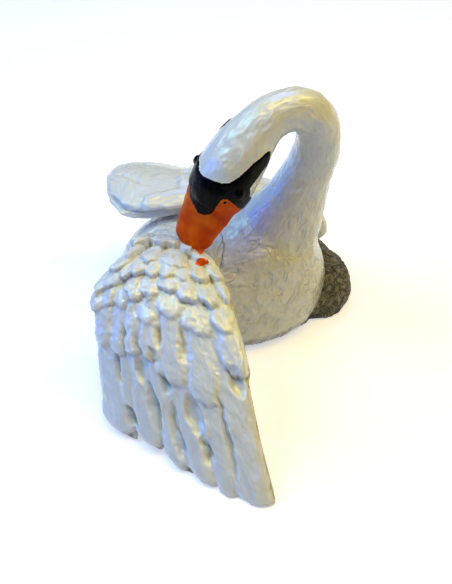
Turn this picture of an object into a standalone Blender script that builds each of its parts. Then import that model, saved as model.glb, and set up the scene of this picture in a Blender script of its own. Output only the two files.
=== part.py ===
"""A preening swan figurine, cast in one piece and painted.

The swan rests on a rock plinth. Its neck arches over, and the bill touches the right wing, which is spread
out and down to the table. The left wing is folded along the back, with its tip lifted clear of the rump.

Frame: +X to the swan's breast, -Y to its right side, +Z up, metres. The origin is on the table, in the middle
of the plinth's flat underside. Tuples of lengths are written in millimetres and pass through mm().
"""

import math

import bmesh
import bpy
import numpy as np
from mathutils import Matrix, Vector, noise

MM = 0.001

# Body, an egg that the table plane cuts low down
BODY_LENGTH = 0.083
BODY_WIDTH = 0.063
BODY_CENTRE_X = -0.007
BACK_HEIGHT = 0.046
GIRTH_HEIGHT = 0.017
RUMP_LIFT = 0.002

# Neck, head and bill
NECK_ROOT_CENTRE = (6, -1, 30)
NECK_ROOT_DIAMETERS = (50, 48, 37)
NECK_CREST_HEIGHT = 0.0954
BREAST_RADIUS = 0.0165
THROAT_RADIUS = 0.0090
CREST_RADIUS = 0.0076
HEAD_WIDTH = 0.0230
HEAD_DEPTH = 0.0225
BILL_LENGTH = 0.0215
BILL_WIDTH = 0.0200
BILL_DEPTH = 0.0125
BILL_TIP_WIDTH = 0.0130
KNOB_DIAMETER = 0.0092
EYE_DIAMETER = 0.0034

# Right wing, spread
WING_WIDTH = 0.055
WING_LENGTH = 0.100
WING_UNDERSIDE = -0.0030
WING_EDGE = -0.0012
QUILL_THICKNESS = 0.0036
COVERT_THICKNESS = 0.0026
TIP_LIFT = 0.0019
ROUND_END = 0.05

# Left wing, folded, and tail
FOLDED_WING_WIDTH = 0.032
FOLDED_WING_THICKNESS = 0.0115
TAIL_LENGTH = 0.0110
TAIL_DROOP = 20
TAIL_FEATHER_COUNT = 5

# Plinth
PLINTH_LENGTH = 0.082
PLINTH_WIDTH = 0.050
PLINTH_HEIGHT = 0.012
BOULDER_DIAMETER = 0.031

# How the casting's skin is made
CORE_VOXEL = 0.0011
TORSO_SMOOTHING = 36
SKIN_VOXEL = 0.0006
TRIANGLES = 11400


def mm(*lengths):
    return Vector([length * MM for length in lengths])


def clear_scene():
    for obj in list(bpy.data.objects):
        bpy.data.objects.remove(obj, do_unlink=True)


def collection(name):
    made = bpy.data.collections.new(name)
    bpy.context.scene.collection.children.link(made)
    return made


def object_from(name, shape):
    """A new object that takes a bmesh."""
    mesh = bpy.data.meshes.new(name)
    shape.to_mesh(mesh)
    shape.free()
    made = bpy.data.objects.new(name, mesh)
    SHAPES.objects.link(made)
    return made


# Curves and lofts


def through(points, share):
    """The point at a share, 0 to 1, of a smooth curve through the points."""
    spans = len(points) - 1
    place = min(max(share, 0.0), 1.0) * spans
    first = min(int(place), spans - 1)
    t = place - first
    p1, p2 = points[first], points[first + 1]
    p0 = points[first - 1] if first > 0 else 2 * p1 - p2
    p3 = points[first + 2] if first + 2 <= spans else 2 * p2 - p1
    return 0.5 * (
        2 * p1
        + (p2 - p0) * t
        + (2 * p0 - 5 * p1 + 4 * p2 - p3) * t * t
        + (3 * p1 - p0 - 3 * p2 + p3) * t * t * t
    )


def loft(name, stations, sides=24, rings=40, relief=None):
    """A closed skin over oval sections. A station is (centre, half width, half depth, upward direction).

    relief holds a height over the skin for each ring and side.
    """
    centres = [station[0] for station in stations]
    sizes = [Vector((station[1], station[2], 0)) for station in stations]
    uppers = [Vector(station[3]).normalized() for station in stations]
    shape = bmesh.new()
    hoops = []
    for ring in range(rings + 1):
        share = ring / rings
        centre = through(centres, share)
        ahead = through(centres, share + 0.01) - through(centres, share - 0.01)
        along = ahead.normalized()
        upper = through(uppers, share)
        upper = (upper - along * upper.dot(along)).normalized()
        aside = along.cross(upper)
        size = through(sizes, share)
        hoop = []
        for side in range(sides):
            turn = 2 * math.pi * side / sides
            place = centre + aside * size.x * math.cos(turn) + upper * size.y * math.sin(turn)
            if relief is not None:
                outward = aside * math.cos(turn) / size.x + upper * math.sin(turn) / size.y
                place += outward.normalized() * float(relief[ring][side])
            hoop.append(shape.verts.new(place))
        hoops.append([
            shape.edges.new((hoop[side], hoop[(side + 1) % sides])) for side in range(sides)
        ])
    for hoop, following in zip(hoops, hoops[1:]):
        bmesh.ops.bridge_loops(shape, edges=hoop + following)
    bmesh.ops.holes_fill(shape, edges=shape.edges, sides=sides)
    bmesh.ops.recalc_face_normals(shape, faces=shape.faces)
    return object_from(name, shape)


def ball(name, centre, diameters, turn=None, segments=24):
    """A sphere stretched to three diameters, turned by a matrix and set at a point."""
    shape = bmesh.new()
    bmesh.ops.create_uvsphere(shape, u_segments=segments, v_segments=segments * 2 // 3, radius=0.5)
    stretch = Matrix.Diagonal((*diameters, 1))
    place = Matrix.Translation(centre) @ (turn or Matrix.Identity(4)) @ stretch
    bmesh.ops.transform(shape, matrix=place, verts=shape.verts)
    return object_from(name, shape)


# Body


def body():
    """An egg with its girth low down, blunt below and lifted at the rump."""
    shape = bmesh.new()
    bmesh.ops.create_uvsphere(shape, u_segments=48, v_segments=32, radius=1)
    for vertex in shape.verts:
        x, y, z = vertex.co
        if z < 0:
            full = (1 - abs(z) ** 3) ** 0.5 / max(1e-6, (1 - z * z) ** 0.5) if abs(z) < 0.999 else 1
            x, y = x * full, y * full
        rump = max(0.0, -x - 0.2) / 0.8
        vertex.co = Vector((
            BODY_CENTRE_X + x * BODY_LENGTH / 2,
            y * BODY_WIDTH / 2 * (1 - 0.25 * rump),
            GIRTH_HEIGHT + z * (BACK_HEIGHT - GIRTH_HEIGHT) + RUMP_LIFT * rump * rump,
        ))
    return object_from("body", shape)


def tail_feathers():
    """A short fan of blunt feathers at the rump."""
    root = Vector((BODY_CENTRE_X - BODY_LENGTH / 2 + 0.006, 0, GIRTH_HEIGHT + RUMP_LIFT))
    made = []
    for index in range(TAIL_FEATHER_COUNT):
        share = index / (TAIL_FEATHER_COUNT - 1) - 0.5
        turn = Matrix.Rotation(math.radians(180 - 62 * share), 4, "Z")
        turn = turn @ Matrix.Rotation(math.radians(TAIL_DROOP), 4, "Y")
        middle = root + turn @ Vector((TAIL_LENGTH * 0.4, 0, 0))
        middle.z -= 0.0012 * abs(share) * 2
        made.append(ball(
            f"tail_feather_{index + 1}", middle, (TAIL_LENGTH * 1.6, 0.0085, 0.0042), turn, 16
        ))
    return made


# Neck, head and bill


def neck_stations(bill_tip):
    """Oval sections from inside the breast, up over the crest and down to the bill's root.

    Heights are shares of the way from the bill's tip to the crest, so the arch follows both.
    """
    rise = NECK_CREST_HEIGHT - bill_tip.z
    throat, crest, breast = THROAT_RADIUS, CREST_RADIUS, BREAST_RADIUS
    half_head, half_depth = HEAD_WIDTH / 2, HEAD_DEPTH / 2
    stations = [
        # x, y, share of rise, half width, half depth, upward direction
        (3, 0, -0.62, breast * 1.15, breast * 1.22, (1, 0, 0)),
        (11, -1.5, -0.34, breast * 1.02, breast * 1.12, (1, 0, 0)),
        (15.8, -2, -0.14, breast * 0.86, breast * 0.96, (1, 0, 0.1)),
        (19.6, -1.5, 0.04, breast * 0.74, breast * 0.79, (1, 0, 0.15)),
        (23.1, -0.6, 0.25, throat * 1.17, throat * 1.15, (1, 0, 0.18)),
        (25.8, 0, 0.42, throat * 1.07, throat * 1.01, (1, 0, 0.2)),
        (27.8, -0.5, 0.64, throat, throat * 0.94, (1, 0, 0.4)),
        (26.0, -2, 0.86, crest * 1.08, crest * 1.08, (0.8, 0, 0.8)),
        (19.2, -5, 1.0, crest * 1.04, crest * 1.04, (0.1, -0.1, 1)),
        (11.4, -8, 0.99, crest * 1.05, crest * 1.05, (-0.4, -0.3, 1)),
        (5.4, -10.8, 0.90, crest * 1.18, crest * 1.18, (-0.6, -0.5, 0.8)),
        (0.8, -13.2, 0.78, half_head * 0.91, half_depth * 0.90, (-0.6, -0.65, 0.5)),
        (-3.6, -15.8, 0.635, half_head, half_depth, (-0.6, -0.7, 0.4)),
        (-7.4, -17.8, 0.50, half_head * 1.02, half_depth * 0.95, (-0.58, -0.72, 0.36)),
        (-10.4, -19.2, 0.40, half_head * 0.94, half_depth * 0.80, (-0.5, -0.75, 0.33)),
        (-12.6, -20.2, 0.33, half_head * 0.74, half_depth * 0.58, (-0.45, -0.78, 0.3)),
    ]
    return [
        (Vector((x * MM, y * MM, bill_tip.z + rise * share)), wide, deep, upward)
        for x, y, share, wide, deep, upward in stations
    ]


def bill_stations(root, tip):
    """Sections of the closed bill: deep and broad at its root, flat and spoon-ended at its tip."""
    upward = (-0.40, -0.80, 0.28)
    sections = [
        # share of the way to the tip, share of the root's width, share of the root's depth
        (-0.22, 0.86, 0.95),
        (0.0, 1.0, 1.0),
        (0.25, 0.94, 0.80),
        (0.50, 0.85, 0.58),
        (0.72, 0.77, 0.45),
        (0.88, 0.66, 0.36),
        (0.97, 0.40, 0.26),
        (1.0, 0.10, 0.10),
    ]
    narrowing = BILL_TIP_WIDTH / BILL_WIDTH / 0.66
    made = []
    for share, wide, deep in sections:
        taper = 1 + (narrowing - 1) * max(0.0, share)
        made.append((
            root.lerp(tip, share),
            BILL_WIDTH / 2 * wide * taper,
            BILL_DEPTH / 2 * deep,
            upward,
        ))
    return made


def head_frame(stations):
    """Along, aside and up directions at the head, whose centre is the third station from the last."""
    centre = stations[-4][0]
    along = (stations[-2][0] - stations[-5][0]).normalized()
    upper = Vector(stations[-4][3])
    upper = (upper - along * upper.dot(along)).normalized()
    return centre, along, along.cross(upper), upper


def neck_and_head():
    bill_tip = wing_point(BILL_U, BILL_V, TIP_LIFT)
    stations = neck_stations(bill_tip)
    centre, along, aside, upper = head_frame(stations)
    bill_root = stations[-2][0]
    tip = bill_root + (bill_tip - bill_root).normalized() * max(
        BILL_LENGTH, (bill_tip - bill_root).length
    )
    knob = stations[-2][0] + upper * BILL_DEPTH * 0.34 - along * 0.001
    made = [
        loft("neck_and_head", stations, rings=70),
        loft("bill", bill_stations(bill_root, tip), rings=24),
        ball("bill_knob", knob, (KNOB_DIAMETER,) * 3),
    ]
    for side, way in (("left", 1), ("right", -1)):
        out = aside * way * 0.90 + upper * 0.36
        seat = centre + along * 0.0015 + out.normalized() * HEAD_WIDTH / 2 * 0.96
        made.append(ball(f"{side}_eye", seat, (EYE_DIAMETER,) * 3, segments=12))
    return made


# Right wing, spread from the back down to the table. Each guide runs from inside the body to the table.

WING_REAR_EDGE = [
    mm(-36, -6, 40), mm(-38, -17, 47), mm(-46.5, -29, 45), mm(-52.5, -38, 36), mm(-52.2, -48, 24),
    mm(-50.8, -59, 11), mm(-49, -70.5, -1.5),
]
WING_MIDDLE = [
    mm(-24, -8, 40), mm(-25.5, -19, 48), mm(-28, -32, 48), mm(-29, -45, 42), mm(-28, -59, 30),
    mm(-24.5, -74, 15.5), mm(-20, -91.5, -1.5),
]
WING_FRONT_EDGE = [
    mm(-9, -10, 37), mm(-12, -21, 45), mm(-7, -38, 44.5), mm(-2.3, -54.5, 39), mm(1.8, -71, 28),
    mm(6.4, -88.5, 13.5), mm(12.5, -107, -1.5),
]
BILL_U = 0.71
BILL_V = 0.23

# Feathers as (u, v at the tip, half width in u). The quills reach the table.
QUILLS = [
    (0.100, 0.968, 0.120), (0.305, 0.955, 0.105), (0.470, 0.985, 0.084), (0.610, 1.000, 0.085),
    (0.750, 1.005, 0.078), (0.885, 1.000, 0.113),
]
MIDDLE_QUILLS = [
    (0.20, 0.870, 0.055), (0.32, 0.800, 0.050), (0.44, 0.860, 0.050), (0.555, 0.900, 0.050),
    (0.68, 0.880, 0.055), (0.86, 0.850, 0.070),
]
GREATER_COVERTS = [
    (0.08, 0.690, 0.080), (0.21, 0.704, 0.076), (0.31, 0.691, 0.068), (0.43, 0.704, 0.074),
    (0.56, 0.757, 0.108), (0.75, 0.776, 0.104), (0.94, 0.680, 0.080),
]
LESSER_COVERTS = [
    (0.02, 0.546, 0.084), (0.13, 0.540, 0.070), (0.24, 0.545, 0.072), (0.42, 0.592, 0.084),
    (0.56, 0.556, 0.108), (0.74, 0.592, 0.110), (0.91, 0.556, 0.080),
    (0.02, 0.487, 0.075), (0.11, 0.467, 0.078), (0.30, 0.513, 0.080), (0.42, 0.507, 0.075),
    (0.56, 0.470, 0.100), (0.69, 0.494, 0.080), (0.83, 0.484, 0.085), (0.95, 0.440, 0.060),
    (0.11, 0.395, 0.085), (0.21, 0.440, 0.070), (0.31, 0.421, 0.080), (0.42, 0.417, 0.066),
    (0.55, 0.412, 0.088), (0.67, 0.418, 0.070), (0.79, 0.401, 0.080), (0.93, 0.375, 0.070),
    (0.17, 0.325, 0.070), (0.37, 0.362, 0.104), (0.58, 0.372, 0.130), (0.85, 0.320, 0.110),
    (0.42, 0.262, 0.180), (0.12, 0.262, 0.120), (0.75, 0.262, 0.140),
]
# Hollows between the quills: u, v at the lower end, half width in u, length in v, depth in mm, change of u
WING_HOLLOWS = [
    (0.165, 0.800, 0.026, 0.100, 2.0, 0), (0.340, 0.700, 0.024, 0.080, 1.6, 0),
    (0.495, 0.672, 0.024, 0.085, 1.8, 0), (0.440, 0.710, 0.030, 0.045, 2.0, 0),
    (0.345, 0.800, 0.030, 0.110, 2.0, 0), (0.385, 0.905, 0.050, 0.130, 2.6, 0),
    (0.490, 0.792, 0.036, 0.065, 2.4, 0), (0.520, 0.955, 0.036, 0.150, 2.2, 0),
    (0.650, 0.872, 0.050, 0.110, 2.6, 0), (0.680, 0.935, 0.028, 0.090, 2.0, 0),
    (0.930, 0.720, 0.050, 0.080, 2.4, 0), (0.215, 0.930, 0.046, 0.070, 2.4, 0),
    (0.820, 0.960, 0.020, 0.230, 2.0, 0), (0.240, 0.700, 0.018, 0.110, 1.6, 0),
    (0.640, 0.690, 0.022, 0.120, 1.8, 0),
]


def feather_breadth(share, reach):
    """A feather's width at a share of its length: nearly straight sides and a blunt round end."""
    end = np.clip(1 - (1 - share) * reach / ROUND_END, 0, 1)
    return (1 - end ** 2.4) ** (1 / 2.2) * (0.8 + 0.2 * np.clip(share * 1.6, 0, 1))


def feather_relief(u, v, rows, hollows, missed):
    """The height of the uppermost feather at each place of a wing, less its hollows.

    A row is (places, length in v, thickness, lift at the tip).
    """
    found = np.full(u.shape, missed)
    for places, reach, thickness, lift in rows:
        for centre, tip, half_u in places:
            share = 1 - (tip - v) / reach
            held = np.clip(share, 0, 1)
            side = abs(u - centre) / np.maximum(half_u * feather_breadth(held, reach), 1e-6)
            height = lift * (1.3 * held - 0.5) + thickness * (0.5 - 0.45 * np.clip(side, 0, 1) ** 3)
            over = (share > 0) & (share < 1) & (side < 1)
            found = np.where(over, np.maximum(found, height), found)
    for centre, low, half_u, length, depth, change in hollows:
        along = np.clip(1 - 2 * (low - v) / length, -1, 1)
        round_off = 1 - along ** 2
        side = (u - centre - change * along / 2) / np.maximum(half_u * round_off ** 0.5, 1e-6)
        found = found - depth * MM * (np.clip(1 - side ** 2, 0, 1) * round_off) ** 0.7
    return found


def wing_surface(u, v):
    """The right wing's upper surface: u from its rear edge to its front edge, v from root to tip."""
    rear, middle, front = (through(guide, v) for guide in (WING_REAR_EDGE, WING_MIDDLE, WING_FRONT_EDGE))
    t = 2 * u
    return rear * (1 - t) * (2 - t) / 2 + middle * t * (2 - t) + front * t * (t - 1) / 2


def wing_point(u, v, height):
    """A point over the right wing's surface."""
    step = 0.01
    across = wing_surface(u + step, v) - wing_surface(u - step, v)
    down = wing_surface(u, v + step) - wing_surface(u, v - step)
    return wing_surface(u, v) + down.cross(across).normalized() * height


WING_ROWS = [
    (QUILLS, 0.60, QUILL_THICKNESS, TIP_LIFT * 0.3),
    (MIDDLE_QUILLS, 0.38, COVERT_THICKNESS, TIP_LIFT * 0.8),
    (GREATER_COVERTS, 0.34, COVERT_THICKNESS * 1.2, TIP_LIFT * 1.6),
    (LESSER_COVERTS, 0.15, COVERT_THICKNESS, TIP_LIFT * 1.8),
]


def softened(values):
    """Each value averaged with two on either side."""
    return np.convolve(np.pad(values, 2, mode="edge"), np.ones(5) / 5, mode="valid")


def wing_outline():
    """How far the feathers reach: least and most u for each v, and most v for each u."""
    fine = np.linspace(0, 1.02, 409)
    wide = np.linspace(-0.15, 1.15, 521)
    least, most = np.full(len(fine), 0.05), np.full(len(fine), 0.93)
    far = np.full(len(wide), 0.90)
    for places, reach, _, _ in WING_ROWS:
        for u, tip, half_u in places:
            share = (fine - tip) / reach + 1
            over = (share > 0.1) & (share < 1)
            breadth = half_u * feather_breadth(np.clip(share, 0, 1), reach)
            least[over] = np.minimum(least, u - breadth)[over]
            most[over] = np.maximum(most, u + breadth)[over]
            aside = abs(wide - u) / half_u
            end = tip - ROUND_END * (1 - (1 - np.clip(aside, 0, 1) ** 2.2) ** (1 / 2.4))
            far[aside < 1] = np.maximum(far, end)[aside < 1]
    return fine, wide, *(softened(values) for values in (least, most, far))


def wing_sheet(across=96, along=160):
    """A grid rolled flat: its first half is the feathered top and its second half the plain underside."""
    fine, wide, least, most, far = wing_outline()
    first, last = np.interp(0.93, fine, least), np.interp(0.93, fine, most)
    shape = bmesh.new()
    bmesh.ops.create_grid(shape, x_segments=2 * across, y_segments=along, size=1)
    spots = np.array([vertex.co[:] for vertex in shape.verts])
    a, b = 1 - abs(spots[:, 0]), (spots[:, 1] + 1) / 2
    v = b * np.interp(first + (last - first) * a, wide, far)
    left, right = np.interp(v, fine, least), np.interp(v, fine, most)
    u = left + (right - left) * a
    inset = np.minimum.reduce([a * WING_WIDTH, (1 - a) * WING_WIDTH, b * WING_LENGTH, (1 - b) * WING_LENGTH])
    rim = np.clip(inset / 0.0013, 0, 1) ** 0.5
    top = feather_relief(u, v, WING_ROWS, WING_HOLLOWS, WING_EDGE)
    height = np.where(spots[:, 0] < 0, top, WING_UNDERSIDE) * rim + WING_EDGE * (1 - rim)
    for vertex, *place in zip(shape.verts, u, v, height):
        vertex.co = wing_point(*map(float, place))
    bmesh.ops.remove_doubles(shape, verts=shape.verts, dist=0.00001)
    bmesh.ops.recalc_face_normals(shape, faces=shape.faces)
    return object_from("wing_sheet", shape)


def wing_arm():
    """The thick root that carries the spread wing, buried in the back at one end."""
    stations = [
        (mm(-21, 0, 28), 0.016, 0.013, (0, -0.2, 1)),
        (mm(-22, -10, 34.5), 0.0165, 0.0115, (0, -0.2, 1)),
        (mm(-25, -20, 38.5), 0.0165, 0.0088, (0, 0, 1)),
        (mm(-27.5, -30, 40.5), 0.0160, 0.0062, (0, -0.1, 1)),
        (mm(-28.5, -39, 40), 0.0135, 0.0038, (0, -0.3, 1)),
        (mm(-28.8, -46, 37), 0.0060, 0.0016, (0, -0.4, 1)),
    ]
    return loft("wing_arm", stations, rings=30)


# Left wing, folded along the back. On it u runs over the top from the side near the head to the far side.

FOLDED_ROWS = [
    ([(0.50, 0.99, 0.75)], 1.20, 0.0002, 0.0),
    ([(0.14, 0.63, 0.12), (0.02, 0.57, 0.10), (0.32, 0.53, 0.13), (0.56, 0.50, 0.14), (0.82, 0.48, 0.14)],
     0.24, COVERT_THICKNESS * 0.6, TIP_LIFT * 0.7),
    ([(0.20, 0.41, 0.15), (0.45, 0.42, 0.15), (0.70, 0.41, 0.15), (0.93, 0.37, 0.13)],
     0.18, COVERT_THICKNESS * 0.7, TIP_LIFT * 0.9),
    ([(0.10, 0.31, 0.14), (0.33, 0.32, 0.15), (0.57, 0.32, 0.15), (0.82, 0.30, 0.15)],
     0.15, COVERT_THICKNESS * 0.7, TIP_LIFT * 0.9),
    ([(0.22, 0.23, 0.15), (0.48, 0.24, 0.15), (0.74, 0.23, 0.15)],
     0.13, COVERT_THICKNESS * 0.7, TIP_LIFT * 0.9),
]
FOLDED_HOLLOWS = [(-0.03, 0.90, 0.13, 0.44, 3.0, 0.30), (0.48, 0.84, 0.024, 0.24, 0.9, 0.28)]


def folded_wing():
    """A leaf-shaped slab from the wrist beside the breast to the lifted tip, feathered in low relief."""
    half_width, half_thick = FOLDED_WING_WIDTH / 2, FOLDED_WING_THICKNESS / 2
    outline = [
        # x, y, z, share of the width, share of the thickness, upward direction
        (33, 15, 22, 0.30, 0.60, (0.5, 0.7, 0.5)),
        (28, 18, 27, 0.62, 1.05, (0.3, 0.8, 0.5)),
        (14, 20.5, 34.5, 0.92, 1.25, (0, 0.7, 0.7)),
        (-5, 19.5, 41, 1.06, 1.25, (0, 0.45, 0.9)),
        (-22, 18, 43.5, 1.15, 1.25, (0, 0.25, 0.95)),
        (-37, 18, 43.9, 1.21, 1.12, (0, 0.1, 1)),
        (-46.5, 18.7, 44.5, 1.08, 0.86, (0, 0.05, 1)),
        (-52, 18.5, 44.8, 0.66, 0.60, (0, 0.05, 1)),
        (-53.8, 18.3, 44.8, 0.25, 0.30, (0, 0.05, 1)),
    ]
    stations = [
        (mm(x, y, z), half_width * wide, half_thick * thick, upward)
        for x, y, z, wide, thick, upward in outline
    ]
    sides, rings = 90, 110
    v, turn = np.meshgrid(np.linspace(0, 1, rings + 1), np.arange(sides) * 360 / sides, indexing="ij")
    u = (170 - ((turn + 90) % 360 - 90)) / 160
    relief = feather_relief(u, v, FOLDED_ROWS, FOLDED_HOLLOWS, 0.0)
    return loft("folded_wing", stations, sides, rings, relief)


# Plinth


def weathered(obj, amount, grain):
    """Roughens a rock by moving its points with smooth noise."""
    for vertex in obj.data.vertices:
        shift = noise.noise(vertex.co / grain) + 0.5 * noise.noise(vertex.co / grain * 2.1)
        outward = Vector((vertex.co.x, vertex.co.y, 0)).normalized()
        vertex.co += outward * shift * amount + Vector((0, 0, shift * amount * 0.6))
    return obj


def plinth():
    """A low rock under the body, with boulders round the breast's far side."""
    slab = ball(
        "rock_slab", mm(-5, 2, 0), (PLINTH_LENGTH, PLINTH_WIDTH, PLINTH_HEIGHT * 2), segments=48
    )
    made = [weathered(slab, 0.0018, 0.012)]
    boulders = [
        # x, y, z, share of the diameter along, across and up
        (31.3, 7, 3, 1.0, 1.22, 0.94),
        (24, 21, 2, 1.1, 0.95, 0.85),
        (2, 27, 1, 1.3, 0.7, 0.75),
        (-22, 22, 0, 1.2, 0.8, 0.7),
    ]
    for index, (x, y, z, along, across, up) in enumerate(boulders):
        diameters = [BOULDER_DIAMETER * share for share in (along, across, up)]
        boulder = ball(f"boulder_{index + 1}", mm(x, y, z), diameters, segments=36)
        made.append(weathered(boulder, 0.0016, 0.009))
    return made


# The casting


def evaluated_mesh(obj):
    graph = bpy.context.evaluated_depsgraph_get()
    return bpy.data.meshes.new_from_object(obj.evaluated_get(graph))


def joined(name, pieces):
    """One object with the evaluated meshes of several, which are then removed."""
    shape = bmesh.new()
    bpy.context.view_layer.update()
    for piece in pieces:
        shape.from_mesh(evaluated_mesh(piece))
    for piece in pieces:
        bpy.data.objects.remove(piece, do_unlink=True)
    return object_from(name, shape)


def fused(obj, voxel, smoothing):
    """Melts overlapping shells into one skin, as the clay original was."""
    remesh = obj.modifiers.new("Fuse", "REMESH")
    remesh.mode = "VOXEL"
    remesh.voxel_size = voxel
    soften = obj.modifiers.new("Soften", "SMOOTH")
    soften.factor = 0.5
    soften.iterations = smoothing
    return obj


def table_cutter():
    """A block whose top is the table, which leaves the flat feet."""
    shape = bmesh.new()
    bmesh.ops.create_cube(shape, size=1)
    place = Matrix.Translation((0, 0, -0.05)) @ Matrix.Diagonal((0.4, 0.4, 0.1, 1))
    bmesh.ops.transform(shape, matrix=place, verts=shape.verts)
    cutter = object_from("table_cutter", shape)
    cutter.hide_render = True
    cutter.display_type = "WIRE"
    return cutter


def paint(name, colour, roughness):
    material = bpy.data.materials.new(name)
    material.use_nodes = True
    shader = material.node_tree.nodes["Principled BSDF"]
    shader.inputs["Base Color"].default_value = (*colour, 1)
    shader.inputs["Roughness"].default_value = roughness
    return material


def swan():
    neck, *face = neck_and_head()
    shoulder = ball("neck_root", mm(*NECK_ROOT_CENTRE), mm(*NECK_ROOT_DIAMETERS), segments=36)
    torso = fused(joined("torso", [body(), shoulder, neck]), CORE_VOXEL, TORSO_SMOOTHING)
    wings = [wing_arm(), wing_sheet(), folded_wing()]
    casting = joined("swan", [torso, *face, *tail_feathers(), *wings, *plinth()])
    fused(casting, SKIN_VOXEL, 1)
    bpy.context.view_layer.update()
    faces = len(evaluated_mesh(casting).polygons)
    thin = casting.modifiers.new("Facets", "DECIMATE")
    thin.ratio = TRIANGLES / (2 * faces)
    cut = casting.modifiers.new("Flat feet", "BOOLEAN")
    cut.operation = "DIFFERENCE"
    cut.object = table_cutter()
    casting.data.materials.append(paint("pearl_white", (0.86, 0.86, 0.83), 0.3))
    return casting


clear_scene()
SHAPES = collection("swan_figurine")
swan()
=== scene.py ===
"""A preening swan figurine, cast in one piece and painted: its feathers, its paint and a plain studio.

The casting is shown by four pieces: the swan's body with its neck and head, the spread right wing, the
folded left wing, and the rock. Positions are in millimetres until a mesh is made, and +Z is up.
"""

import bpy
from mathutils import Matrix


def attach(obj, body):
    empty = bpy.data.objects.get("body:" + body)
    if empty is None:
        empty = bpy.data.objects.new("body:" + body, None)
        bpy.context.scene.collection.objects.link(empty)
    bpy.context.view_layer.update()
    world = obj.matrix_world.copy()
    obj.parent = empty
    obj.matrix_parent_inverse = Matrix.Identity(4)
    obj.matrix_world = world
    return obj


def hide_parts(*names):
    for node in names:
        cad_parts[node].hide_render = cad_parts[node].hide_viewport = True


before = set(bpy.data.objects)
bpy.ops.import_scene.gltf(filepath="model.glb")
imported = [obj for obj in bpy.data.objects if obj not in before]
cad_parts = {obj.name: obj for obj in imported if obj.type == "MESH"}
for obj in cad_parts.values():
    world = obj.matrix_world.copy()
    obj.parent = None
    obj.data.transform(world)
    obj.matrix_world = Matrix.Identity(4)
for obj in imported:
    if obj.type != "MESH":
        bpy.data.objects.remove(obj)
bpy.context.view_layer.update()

import math
import random

import bmesh
import bpy
import numpy as np
from mathutils import Matrix, Vector

MM = 0.001
SEED = 7

# Body
BODY_SIZE = (83, 63)
BODY_CENTRE_X = -7
BACK_HEIGHT = 46
GIRTH_HEIGHT = 17
NECK_ROOT = ((6, -1, 30), (50, 48, 37))
TAIL_LENGTH = 11
TAIL_DROOP = 20

# Neck, head and bill
NECK_CREST_HEIGHT = 95.4
BREAST_RADIUS = 16.5
THROAT_RADIUS = 9.0
CREST_RADIUS = 7.6
HEAD_WIDTH = 23.0
HEAD_DEPTH = 22.5
BILL_LENGTH = 21.5
BILL_WIDTH = 20.0
BILL_DEPTH = 12.5
BILL_TIP_WIDTH = 13.0
KNOB_DIAMETER = 9.2
EYE_DIAMETER = 3.4
EYE_ADVANCE = 5.5
NOSTRIL_ADVANCE = 10.4
NOSTRIL_ANGLE = 55
NOSTRIL_RADIUS = 0.62
BILL_PAINT_ADVANCE = 7.5

# How fine the finished skins are
TORSO_GRAIN = 1.1
BODY_GRAIN = 0.555
ROCK_GRAIN = 0.60

pieces = bpy.data.collections.new("swan_pieces")
bpy.context.scene.collection.children.link(pieces)


# Values and nodes


class Value:
    """A socket that takes part in sums: each operator adds a Math node to its tree."""

    def __init__(self, graph, socket):
        self.graph, self.socket = graph, socket

    def math(self, operation, *others):
        return self.graph.math(operation, self, *others)

    def __add__(self, other):
        return self.math("ADD", other)

    def __sub__(self, other):
        return self.math("SUBTRACT", other)

    def __mul__(self, other):
        return self.math("MULTIPLY", other)

    def __truediv__(self, other):
        return self.math("DIVIDE", other)

    def __pow__(self, other):
        return self.math("POWER", other)

    def __rsub__(self, other):
        return self.graph.math("SUBTRACT", other, self)

    def __rtruediv__(self, other):
        return self.graph.math("DIVIDE", other, self)

    __radd__, __rmul__ = __add__, __mul__

    def clamped(self):
        """The value held between 0 and 1."""
        return self.graph.node("ShaderNodeClamp", {"Value": self})

    def steps(self, low, high):
        """0 below low, 1 above high, and a smooth rise between them."""
        feeds = {"Value": self, "From Min": low, "From Max": high, "To Min": 0.0, "To Max": 1.0}
        return self.graph.node("ShaderNodeMapRange", feeds, interpolation_type="SMOOTHSTEP")


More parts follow.
